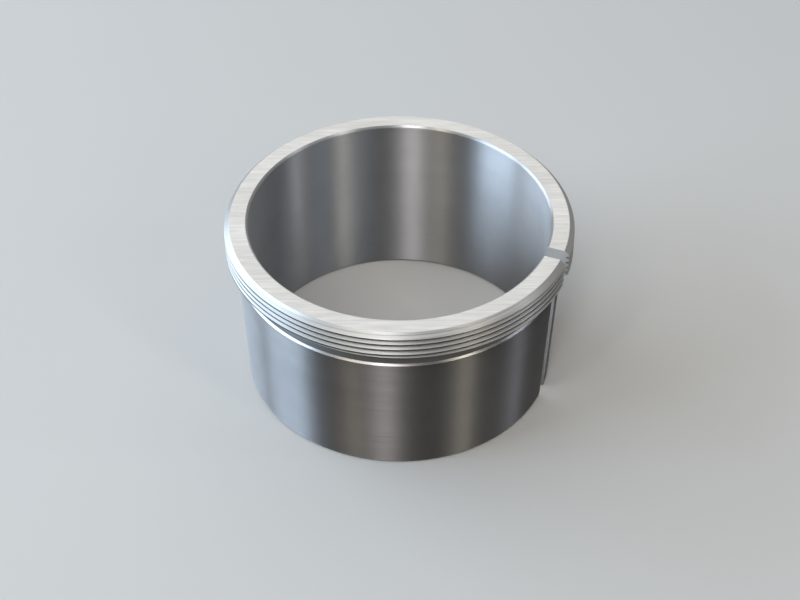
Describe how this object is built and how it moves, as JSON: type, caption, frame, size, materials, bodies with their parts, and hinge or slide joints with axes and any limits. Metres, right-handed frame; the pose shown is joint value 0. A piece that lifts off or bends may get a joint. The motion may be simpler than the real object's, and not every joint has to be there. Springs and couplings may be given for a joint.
{
  "type": "withdrawal sleeve",
  "caption": "Slit steel sleeve with a cylindrical bore, a slightly tapered ground outside and a threaded end, for seating and pulling off a tapered-bore bearing on a plain shaft.",
  "frame": {"origin": "on the bore axis, in the plane of the thin end's face", "axes": "+Z along the bore axis from the thin end to the threaded end, +X through the middle of the slit"},
  "size_m": [0.1096, 0.1096, 0.059],
  "materials": {
    "ground_steel": "turned and ground bare steel, lightly oiled"
  },
  "bodies": {
    "root": {"withdrawal_sleeve": "ground_steel"}
  },
  "joints": []
}
